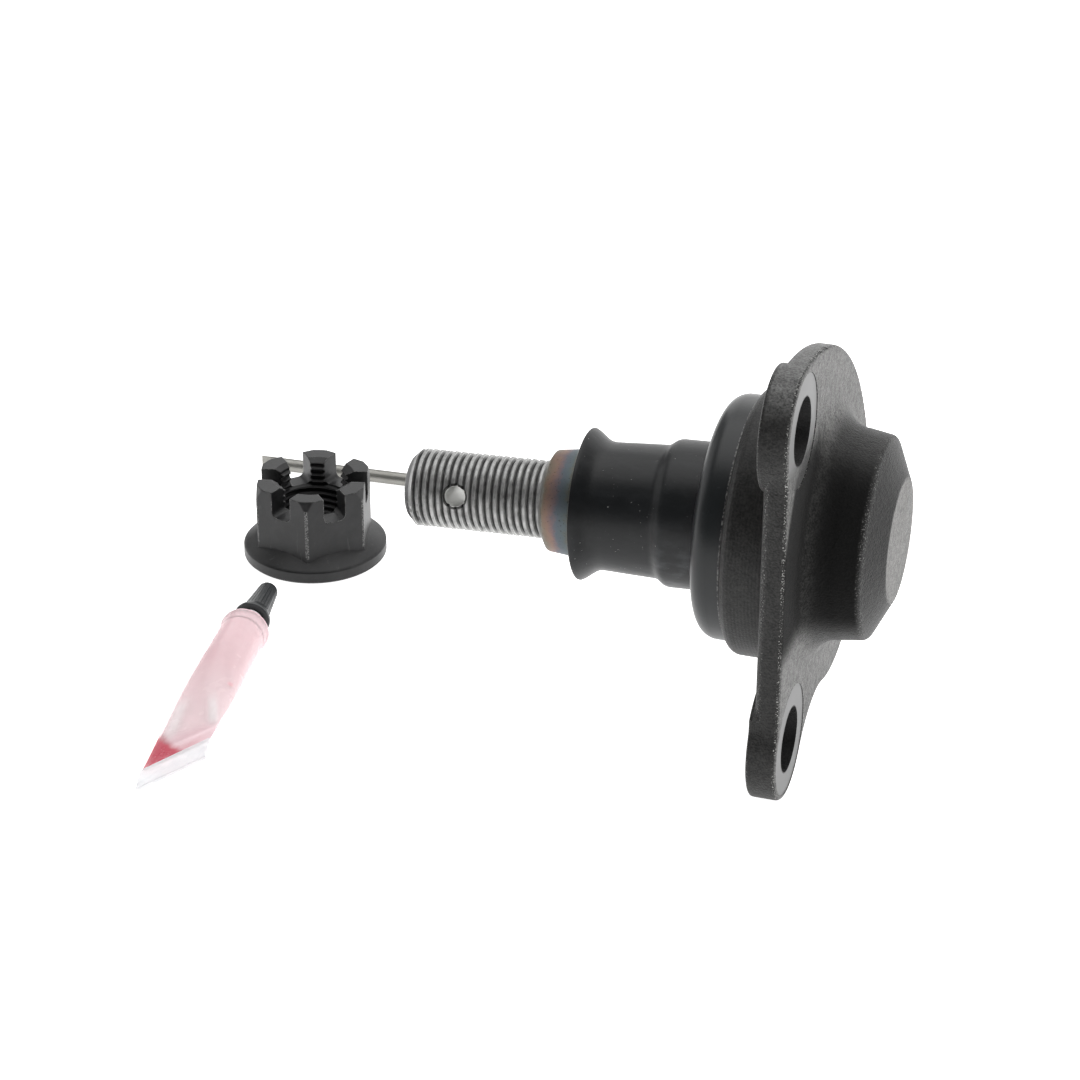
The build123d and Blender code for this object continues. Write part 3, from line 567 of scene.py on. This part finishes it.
def nut_phosphate():
    coat = Finish("nut_phosphate")
    crystals = coat.grain(0.28, 2)
    clouds = coat.grain(4, 4)
    scratches = coat.grain(1.3, 3, (1, 1, 0.18)).between(0.64, 0.74)
    height, out = coat.along(UP, NUT_CENTRE), coat.out(UP, NUT_CENTRE)
    tapped = out.between(8.3, 8.0)
    # The lugs are worn at their edges, and the hexagon at the feet of its corners
    rubbed = coat.edges(0.34, 0.03, 0.2) * (coat.grain(1.1, 3) * 0.8 + crystals * 0.3).between(0.42, 0.62)
    rubbed = rubbed * height.between(NUT_SLOT_FLOOR - 1.5, NUT_SLOT_FLOOR - 0.5)
    corner = out.between(13.58, 13.7) * height.between(4.9, 5.3) * crystals.between(0.42, 0.6)
    worn = (rubbed * 0.7 + corner * 0.5).at_most(1.0) * (1 - tapped)
    colour = coat.tint(clouds.between(0.3, 0.75), (0.006, 0.006, 0.0064), (0.0145, 0.0145, 0.0153))
    colour = coat.tint(scratches * 0.2, colour, (0.08, 0.08, 0.08))
    colour = coat.tint(worn, colour, (0.26, 0.26, 0.255))
    # Painted shade: the roots of the tapped thread are painted near black
    colour = coat.tint(tapped * out.between(7.5, 7.85), colour, (0.002, 0.002, 0.002))
    roughness = 0.36 + clouds * 0.14 - rubbed * 0.08
    relief = crystals * 0.6 + clouds * 0.4
    shine = {"roughness": roughness, "metallic": 0.12, "specular_ior_level": 0.38}
    return coat.surface(colour, relief, 0.04, rounding=0.3, **shine)


def pin_steel():
    wire = Finish("pin_steel")
    drawn = wire.grain(0.3, 3, (0.12, 1, 1))
    clouds = wire.grain(3, 3)
    colour = wire.tint(clouds, (0.2, 0.196, 0.18), (0.33, 0.325, 0.305))
    colour = wire.tint(drawn.between(0.6, 0.7) * 0.5, colour, (0.08, 0.08, 0.075))
    return wire.surface(colour, drawn, 0.02, roughness=0.42 + clouds * 0.12, metallic=0.85)


def plain_steel():
    steel = Finish("plain_steel")
    rings = steel.grain(0.3, 2, (1, 0.1, 0.1))
    clouds = steel.grain(4, 3)
    colour = steel.tint(clouds, (0.36, 0.36, 0.36), (0.5, 0.5, 0.49))
    return steel.surface(colour, rings, 0.015, roughness=0.34 + clouds * 0.1, metallic=1.0)


def bearing_liner():
    acetal = Finish("bearing_liner")
    clouds = acetal.grain(5, 3)
    fine = acetal.grain(0.6, 2)
    colour = acetal.tint(clouds, (0.78, 0.76, 0.7), (0.84, 0.82, 0.77))
    return acetal.surface(colour, fine, 0.02, roughness=0.42 + fine * 0.08)


def towards_corner(along, across, clouds):
    """Distance towards the corner of the tail where the compound has gathered, with a wavering edge."""
    return along - across * 1.07 + (clouds - 0.5) * 4


def tube_film():
    film = Finish("tube_film")
    along, across = film.along(-TUBE_AHEAD, TUBE_MOUTH), film.along(TUBE_SIDE, TUBE_MOUTH)
    clouds = film.grain(7, 3)
    ripples = film.grain(3.0, 3, (1, 0.35, 1))
    # Compound lies dark in one corner of the tail, and in a thin line along the seal
    tail = along.between(43, 48)
    pool = towards_corner(along, across, clouds).between(50.4, 53.4)
    line = (along + across * 0.26 + (ripples - 0.5) * 2.4).between(49.5, 53) * across.between(7.0, 2.0)
    large_drop = film.near(TUBE_MOUTH - TUBE_AHEAD * 30.7 + TUBE_SIDE * 4.9 + UP * 2.8, 1.1)
    small_drop = film.near(TUBE_MOUTH - TUBE_AHEAD * 28.8 + TUBE_SIDE * 5.4 + UP * 2.7, 0.7)
    # Two creases, where the film lies away from the compound and shows clear, each with a painted highlight
    # along it
    crease = abs(across - 3.0 - (along - 37.5) * 0.302).between(1.9, 0.2)
    crease = crease * along.between(33, 39) * along.between(48, 43)
    second = abs(across + 3.7).between(2.3, 0.3) * along.between(34, 39) * along.between(49, 44)
    clear_film_and_highlight = crease.stronger(second * 0.8) * (0.45 + ripples * 0.6)
    stain = pool.stronger(line * 0.4, large_drop.stronger(small_drop) * 0.5)
    colour = film.tint(clouds, (0.93, 0.80, 0.82), (0.96, 0.88, 0.89))
    colour = film.tint(tail, colour, (0.88, 0.66, 0.7))
    # Clear film and a painted highlight along the creases
    colour = film.tint(clear_film_and_highlight, colour, (0.98, 0.965, 0.965))
    colour = film.tint(stain, colour, (0.58, 0.07, 0.11))
    opacity = 0.34 + clouds * 0.12 + (clear_film_and_highlight * 0.5).stronger(stain * 0.55, tail * 0.4)
    shine = {"roughness": 0.2 + clouds * 0.12, "specular_ior_level": 0.6}
    return film.surface(colour, ripples + clear_film_and_highlight * 0.4, 0.14, alpha=opacity, **shine)


def seal_film():
    seal = Finish("tube_seal")
    clouds = seal.grain(1.6, 3)
    crimps = (seal.along(-TUBE_AHEAD, TUBE_MOUTH) * 7.5).maths("SINE") * 0.5 + 0.5
    colour = seal.tint(clouds.between(0.4, 0.7), (0.9, 0.9, 0.92), (0.78, 0.785, 0.81))
    relief = crimps * 0.4 + clouds * 0.6
    return seal.surface(colour, relief, 0.06, roughness=0.28 + clouds * 0.2, alpha=0.6 + clouds * 0.2)


def tube_gel():
    gel = Finish("tube_gel")
    along, across = gel.along(-TUBE_AHEAD, TUBE_MOUTH), gel.along(TUBE_SIDE, TUBE_MOUTH)
    clouds = gel.grain(8, 3)
    pool = towards_corner(along, across, clouds).between(49.4, 52.4)
    colour = gel.tint(clouds, (0.78, 0.45, 0.5), (0.84, 0.56, 0.6))
    # Painted light: the gel is painted paler from the middle of the tube to the tail, where the flattening
    # tube is turned from the light
    colour = gel.tint(along.between(22, 38) * 0.85, colour, (0.94, 0.74, 0.77))
    colour = gel.tint(pool, colour, (0.4, 0.02, 0.045))
    return gel.surface(colour, clouds, 0.3, roughness=0.35)


def shoulder_plastic():
    milky = Finish("tube_shoulder")
    along, out = milky.along(-TUBE_AHEAD, TUBE_MOUTH), milky.out(-TUBE_AHEAD, TUBE_MOUTH)
    clouds = milky.grain(3, 3)
    colour = milky.tint(clouds, (0.8, 0.5, 0.55), (0.85, 0.58, 0.63))
    colour = milky.tint(along.between(5.0, 4.3) * 0.5, colour, (0.93, 0.8, 0.83))
    colour = milky.tint(out.between(4.3, 3.7), colour, (0.97, 0.94, 0.95))
    return milky.surface(colour, clouds, 0.05, roughness=0.3 + clouds * 0.1, alpha=0.96)


def cap_plastic():
    plastic = Finish("cap_plastic")
    fine = plastic.grain(0.25, 2)
    clouds = plastic.grain(3, 3)
    rubbed = plastic.edges(0.2, 0.03, 0.25) * clouds.between(0.35, 0.6)
    colour = plastic.tint(clouds, (0.012, 0.014, 0.0155), (0.02, 0.023, 0.025))
    colour = plastic.tint(rubbed * 0.4, colour, (0.14, 0.145, 0.15))
    return plastic.surface(colour, fine, 0.012, roughness=0.3 + clouds * 0.1)


IRON = forged_iron()
RUBBER = boot_rubber()
STEEL = stud_steel()
PLAIN = plain_steel()
LINER = bearing_liner()

dress(nodes["housing"], IRON)
dress(nodes["shroud"], shroud_coat())
dress(nodes["closing_ring"], PLAIN)
dress(nodes["preload_spring"], PLAIN)
dress(nodes["sleeve_insert"], PLAIN)
dress(nodes["bearing_cup"], LINER)
dress(nodes["bearing_ring"], LINER)
dress(nodes["cotter_pin"], pin_steel())


# The stud: one turned piece from the ball to the end of the taper, and the threaded end with its cross hole


def stud_profile():
    neck_start = sqrt(BALL_RADIUS**2 - NECK_RADIUS**2)
    ball_steps = 24
    ball = []
    for step in range(ball_steps + 1):
        height = -BALL_FLAT + (neck_start + BALL_FLAT) * (1 - cos(pi * step / ball_steps)) / 2
        ball.append((height, sqrt(BALL_RADIUS**2 - height**2)))
    return ball + [
        (12.4, NECK_RADIUS - 0.15),
        (19.6, NECK_RADIUS),
        (20.4, NECK_RADIUS + 0.2),
        (28.7, SHANK_RADIUS - 0.07),
        (29.3, SHANK_RADIUS),
        (TAPER_START, SHANK_RADIUS),
        (TAPER_END - 0.25, TAPER_END_RADIUS),
        (TAPER_END + 0.1, TAPER_END_RADIUS - 0.16),
        (THREAD_START, THREAD_CREST - 0.05),
        (THREAD_START + 0.6, THREAD_ROOT - 0.1),
    ]


stud_body = turned("stud_body", stud_profile(), sides=128)
stud_thread = threaded("stud_thread", THREAD_CREST, THREAD_ROOT, THREAD_START - 0.8, STUD_END)
thread_limit = turned(
    "thread_limit",
    [
        (THREAD_START - 2, THREAD_CREST + 1),
        (STUD_END - STUD_CHAMFER - 1, THREAD_CREST + 1),
        (STUD_END - STUD_CHAMFER, THREAD_CREST),
        (STUD_END - 0.3, THREAD_CREST - STUD_CHAMFER + 0.35),
        (STUD_END - 0.02, THREAD_CREST - STUD_CHAMFER - 0.2),
    ],
    sides=128,
)
carve(stud_thread, thread_limit, "INTERSECT")
hole_end, sink_start = THREAD_CREST + 1, THREAD_CREST - 0.6
cross_drill = turned(
    "cross_drill",
    [
        (-hole_end, CROSS_HOLE_RADIUS + 1.2),
        (-sink_start, CROSS_HOLE_RADIUS),
        (sink_start, CROSS_HOLE_RADIUS),
        (hole_end, CROSS_HOLE_RADIUS + 1.2),
    ],
    sides=48,
)
hole_direction = Vector((cos(CROSS_HOLE_TURN), sin(CROSS_HOLE_TURN), 0))
cross_drill.matrix_world = (
    Matrix.Translation((0, 0, CROSS_HOLE)) @ hole_direction.to_track_quat("Z", "Y").to_matrix().to_4x4()
)
carve(stud_thread, cross_drill)
for piece in (stud_body, stud_thread):
    set_in_place(piece, BALL_CENTRE, STUD_AXIS, STUD_ACROSS, sharp=32)
    dress(piece, STEEL)
    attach(piece, "ball_stud")
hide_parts("ball_stud")


# The boot: a bead held by the shroud, a roll that turns under, and the sleeve that runs out to the lip


def arc(centre, radius, start, end, count):
    turns = [radians(start + (end - start) * step / (count - 1)) for step in range(count)]
    return [(centre[0] + radius * cos(turn), centre[1] + radius * sin(turn)) for turn in turns]


boot_bead = turned(
    "boot_bead",
    [
        (11.7, 19.9),
        (11.7, 22.85),
        (12.9, 22.85),
        (14.4, 21.3),
        (14.5, 19.8),
        (14.5, 17.9),
        (13.6, 17.9),
        (13.2, 18.6),
        (13.0, 19.7),
    ],
    ring=True,
)
boot_roll = turned(
    "boot_roll",
    arc(FOLD, FOLD_INNER, 80, 190, 9)
    + arc(FOLD, FOLD_OUTER, 190, 90, 9)
    + [(14.45, 18.8), (14.6, 18.5), (14.62, 17.8)],
    ring=True,
)
sleeve_outside = [
    (15.2, 15.02),
    (17.0, 15.0),
    (24.2, 15.0),
    (24.9, 14.92),
    (25.5, 14.68),
    (26.1, 14.25),
    (26.6, 13.87),
    (27.1, 13.62),
    (27.7, 13.54),
    (33.0, 13.3),
    (37.6, 13.08),
    (38.5, 13.06),
    (39.4, 13.2),
    (40.2, 13.56),
    (41.0, 14.12),
    (41.7, 14.66),
    (42.3, 15.1),
    (42.8, 15.4),
    (43.05, 15.5),
    (43.25, 15.46),
    (43.35, 15.3),
    (43.35, 14.9),
]
sleeve_inside = [
    (43.2, 13.6),
    (43.4, 12.7),
    (43.8, 12.1),
    (44.15, 11.9),
    (44.25, 11.65),
    (44.1, 11.42),
    (43.42, 11.4),
    (43.42, 11.82),
    (36.0, 11.82),
    (27.0, 12.1),
    (24.4, 13.5),
    (15.2, 13.5),
]
boot_sleeve_skin = turned(
    "boot_sleeve_skin",
    arc(FOLD, FOLD_INNER, 180, 270, 7) + sleeve_outside + sleeve_inside + arc(FOLD, FOLD_OUTER, 270, 180, 7),
    sides=128,
    ring=True,
)
set_in_place(boot_bead, BALL_CENTRE, HOUSING_AXIS, STUD_ACROSS)
set_in_place(boot_roll, BALL_CENTRE, FOLD_AXIS, STUD_ACROSS)
set_in_place(boot_sleeve_skin, BALL_CENTRE, STUD_AXIS, STUD_ACROSS)
for piece in (boot_bead, boot_roll, boot_sleeve_skin):
    dress(piece, RUBBER)
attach(boot_bead, "housing")
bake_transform(boot_roll)
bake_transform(boot_sleeve_skin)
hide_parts("boot_base")
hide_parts("boot_fold")
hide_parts("boot_sleeve")


# The castle nut: a hexagon under a cone, on its flange, then bored, tapped and slotted through the flats


def slot_cutter(turn):
    """A bar across the whole nut, with its two lower long edges rounded."""
    length, height = 34, 10
    bar = block("slot_cutter", (length, NUT_SLOT_WIDTH, height), (0, 0, NUT_SLOT_FLOOR + height / 2))
    edit(bar)
    bpy.ops.mesh.select_mode(type="EDGE")
    bpy.ops.mesh.select_all(action="DESELECT")
    bpy.ops.object.mode_set(mode="OBJECT")
    for edge in bar.data.edges:
        ends = [bar.data.vertices[corner].co for corner in edge.vertices]
        edge.select = all(end.z < NUT_SLOT_FLOOR + 1 for end in ends) and abs(ends[0].x - ends[1].x) > 1
    bpy.ops.object.mode_set(mode="EDIT")
    bpy.ops.mesh.bevel(offset=NUT_SLOT_CORNER, segments=5)
    bpy.ops.object.mode_set(mode="OBJECT")
    bar.matrix_world = Matrix.Rotation(turn, 4, "Z")
    return bar


def castle_nut():
    start_fresh()
    middle = (0, 0, NUT_HEIGHT / 2 + 0.5)
    bpy.ops.mesh.primitive_cylinder_add(vertices=6, radius=NUT_CORNER, depth=NUT_HEIGHT - 1, location=middle)
    nut = bpy.context.object
    nut.name = "castle_nut_body"
    bpy.ops.object.transform_apply(location=True)
    crown = [(-1, 14.65), (NUT_CROWN_START, 14.65), (NUT_HEIGHT + 0.5, 12.848)]
    carve(nut, turned("crown", crown, sides=192), "INTERSECT")
    flange_edge = NUT_FLANGE_RADIUS - 0.5
    rim = [(0, flange_edge), (0.5, NUT_FLANGE_RADIUS), (2.7, NUT_FLANGE_RADIUS), (3.2, flange_edge)]
    carve(nut, turned("flange", rim + [(5.0, 12.4), (5.4, 11.4)], sides=192), "UNION")
    apply(nut, "BEVEL", width=0.3, segments=3, limit_method="ANGLE", angle_limit=radians(28))
    countersinks = [(NUT_HEIGHT - 1.2, NUT_BORE), (NUT_HEIGHT, 9.3), (NUT_HEIGHT + 1, 11.05)]
    carve(nut, turned("bore", [(-1, 9.1), (0.9, NUT_BORE)] + countersinks))
    carve(nut, threaded("tap", NUT_TAP_CREST, NUT_TAP_ROOT, -2, NUT_HEIGHT + 2))
    for step in range(3):
        carve(nut, slot_cutter(radians(60 * step)))
    return face_outwards(nut)


nut_body = castle_nut()
set_in_place(nut_body, NUT_CENTRE, UP, Vector((cos(NUT_TURN), sin(NUT_TURN), 0)), sharp=30)
apply(nut_body, "WEIGHTED_NORMAL", keep_sharp=True)
dress(nut_body, nut_phosphate())
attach(nut_body, "castle_nut")
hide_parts("castle_nut")


# The tube of thread compound: film over gel, a crimped tail, a moulded shoulder and a ribbed cap


def flattening(distance):
    share = min(max((distance - TUBE_FLAT_START) / (TUBE_FLAT_END - TUBE_FLAT_START), 0), 1)
    return share * share * (3 - 2 * share)


def at_tail(distance, share):
    """The drop, twist and lean that the tail has in full, and the rest of the tube has a share of."""
    drop = Matrix.Translation((0, -TUBE_TAIL_DROP * share, distance))
    return drop @ Matrix.Rotation(SEAL_TWIST * share, 4, "Z") @ Matrix.Rotation(SEAL_SKEW * share, 4, "Y")


def lofted(name, start, end, count, inset):
    """A tube through ellipses set along it, which flatten, twist and lean towards the tail."""
    start_fresh()
    hoops = []
    for step in range(count):
        distance = start + (end - start) * step / (count - 1)
        share = flattening(distance)
        fill = "NGON" if step in (0, count - 1) else "NOTHING"
        bpy.ops.mesh.primitive_circle_add(vertices=72, radius=1, fill_type=fill)
        hoop = bpy.context.object
        hoops.append(hoop)
        wide = TUBE_RADIUS + (SEAL_HALF_WIDTH - TUBE_RADIUS) * share - inset
        thick = TUBE_RADIUS + (SEAL_HALF_THICKNESS - TUBE_RADIUS) * share - inset
        hoop.matrix_world = at_tail(distance, share) @ Matrix.Diagonal((wide, thick, 1, 1))
    start_fresh()
    for hoop in hoops:
        hoop.select_set(True)
    bpy.context.view_layer.objects.active = hoops[0]
    bpy.ops.object.transform_apply(location=True, rotation=True, scale=True)
    bpy.ops.object.join()
    piece = bpy.context.object
    piece.name = name
    bpy.ops.object.mode_set(mode="EDIT")
    bpy.ops.mesh.select_mode(type="EDGE")
    bpy.ops.mesh.select_all(action="SELECT")
    bpy.ops.mesh.delete(type="ONLY_FACE")
    bpy.ops.mesh.select_all(action="SELECT")
    bpy.ops.mesh.bridge_edge_loops()
    bpy.ops.mesh.select_all(action="DESELECT")
    bpy.ops.mesh.select_non_manifold()
    bpy.ops.mesh.fill_holes(sides=0)
    return face_outwards(piece)


film_skin = lofted("tube_film_skin", TUBE_FRONT, TUBE_FLAT_END, 30, 0)
gel_core = lofted("tube_gel_core", 7.6, 46.6, 24, 0.46)

seal_size = (2 * SEAL_HALF_WIDTH, 2 * SEAL_HALF_THICKNESS, SEAL_LENGTH)
tail_seal = block("tube_tail_seal", seal_size, (0, 0, SEAL_LENGTH / 2))
apply(tail_seal, "BEVEL", width=0.2, segments=3)
move(tail_seal, at_tail(TUBE_FLAT_END, 1))

shoulder_ring = turned(
    "tube_shoulder_ring",
    [
        (7.0, 4.5),
        (7.0, 4.9),
        (5.02, 4.92),
        (4.97, 5.33),
        (4.6, 5.27),
        (4.3, 5.12),
        (4.1, 4.9),
        (0.2, 2.6),
        (0.1, 2.5),
        (0.1, 2.0),
        (-7.6, 2.0),
        (-7.6, 0.9),
        (5.0, 0.9),
    ],
    sides=72,
    ring=True,
)
for piece in (film_skin, gel_core, tail_seal, shoulder_ring):
    set_in_place(piece, TUBE_MOUTH, -TUBE_AHEAD, TUBE_SIDE, sharp=40)
    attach(piece, "tube")
dress(film_skin, tube_film())
dress(gel_core, tube_gel())
dress(tail_seal, seal_film())
dress(shoulder_ring, shoulder_plastic())
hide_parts("tube_body")
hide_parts("tube_gel")
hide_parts("tube_shoulder")


def ribbed_cap():
    cap = turned(
        "tube_cap_ribbed",
        [
            (8.2, 1.2),
            (8.2, 2.06),
            (0, 2.06),
            (0, 3.9),
            (0.12, 4.0),
            (0.75, 4.0),
            (1.0, 3.92),
            (1.5, 3.6),
            (2.2, 3.28),
            (3.0, 3.06),
            (12.75, 2.2),
            (13.1, 2.08),
            (13.3, 1.8),
            (13.3, 1.0),
            (13.05, 0.8),
            (9.0, 0.8),
        ],
        sides=CAP_SIDES,
        ring=True,
    )
    edit(cap)
    bpy.ops.mesh.select_mode(type="FACE")
    bpy.ops.mesh.select_all(action="DESELECT")
    bpy.ops.object.mode_set(mode="OBJECT")
    for face in cap.data.polygons:
        middle = face.center
        # Two columns of faces in every four are sunk, between lengthwise ribs
        column = int((middle.xy.angle_signed(Vector((1, 0))) % (2 * pi)) / (2 * pi) * CAP_SIDES)
        on_outside = CAP_RIBS[0] < middle.z < CAP_RIBS[1] and middle.xy.length > 2.05
        face.select = on_outside and column % 4 in (0, 1)
    bpy.ops.object.mode_set(mode="EDIT")
    bpy.ops.mesh.inset(thickness=0.04, depth=-0.08, use_individual=False)
    return face_outwards(cap)


cap_piece = ribbed_cap()
set_in_place(cap_piece, TUBE_MOUTH, TUBE_AHEAD, TUBE_SIDE, sharp=30)
dress(cap_piece, cap_plastic())
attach(cap_piece, "tube_cap")
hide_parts("tube_cap")


# Floor, light and camera

start_fresh()
bpy.ops.mesh.primitive_plane_add(size=12, location=(0, 0, (FLOOR_Z - FLOOR_GAP) * MILLIMETRE))
floor = bpy.context.object
floor.name = "floor"
glow = {"emission_color": (1, 1, 1), "emission_strength": 1.0}
paper = Finish("paper").surface((0.9, 0.9, 0.9), roughness=0.95, specular_ior_level=0.0, **glow)
floor.data.materials.append(paper)

world = bpy.data.worlds.new("studio")
world.use_nodes = True
background = world.node_tree.nodes["Background"].inputs
background["Color"].default_value = (1, 1, 1, 1)
background["Strength"].default_value = 0.13
bpy.context.scene.world = world


def soft_box(name, place, aim, size, radiance):
    lamp = bpy.data.lights.new(name, "AREA")
    lamp.shape = "RECTANGLE"
    lamp.size, lamp.size_y = size
    lamp.energy = radiance * pi * size[0] * size[1]
    holder = bpy.data.objects.new(name, lamp)
    bpy.context.scene.collection.objects.link(holder)
    holder.location = place
    holder.rotation_euler = (Vector(aim) - Vector(place)).to_track_quat("-Z", "Y").to_euler()


# Where each light is, what it faces, its size in metres and its radiance
soft_box("overhead", (-0.05, 0.3, 1.3), (-0.05, 0.05, 0), (1.7, 1.5), 2.4)
soft_box("right_wall", (1.3, 0.35, 0.45), (0, 0, 0), (1.3, 1.1), 2.0)
soft_box("left_wall", (-1.4, 0.25, 0.5), (-0.1, 0, 0), (1.2, 1.0), 1.2)
soft_box("back_wall", (-0.1, 1.5, 0.6), (-0.05, 0, 0), (2.0, 1.1), 1.6)

lens = bpy.data.cameras.new("camera")
lens.lens = 104.397
lens.sensor_width = 36
lens.clip_start = 0.01
lens.clip_end = 30
camera = bpy.data.objects.new("camera", lens)
bpy.context.scene.collection.objects.link(camera)
camera_right = Vector((0.952037, 0.305982, 0.000007))
camera_up = Vector((-0.144761, 0.450392, 0.881017))
camera_back = Vector((0.269572, -0.838762, 0.473085))
camera.matrix_world = Matrix.Translation((0.119514, -0.539153, 0.292012)) @ (
    Matrix((camera_right, camera_up, camera_back)).transposed().to_4x4()
)
bpy.context.scene.camera = camera
bpy.context.scene.view_settings.view_transform = "Standard"
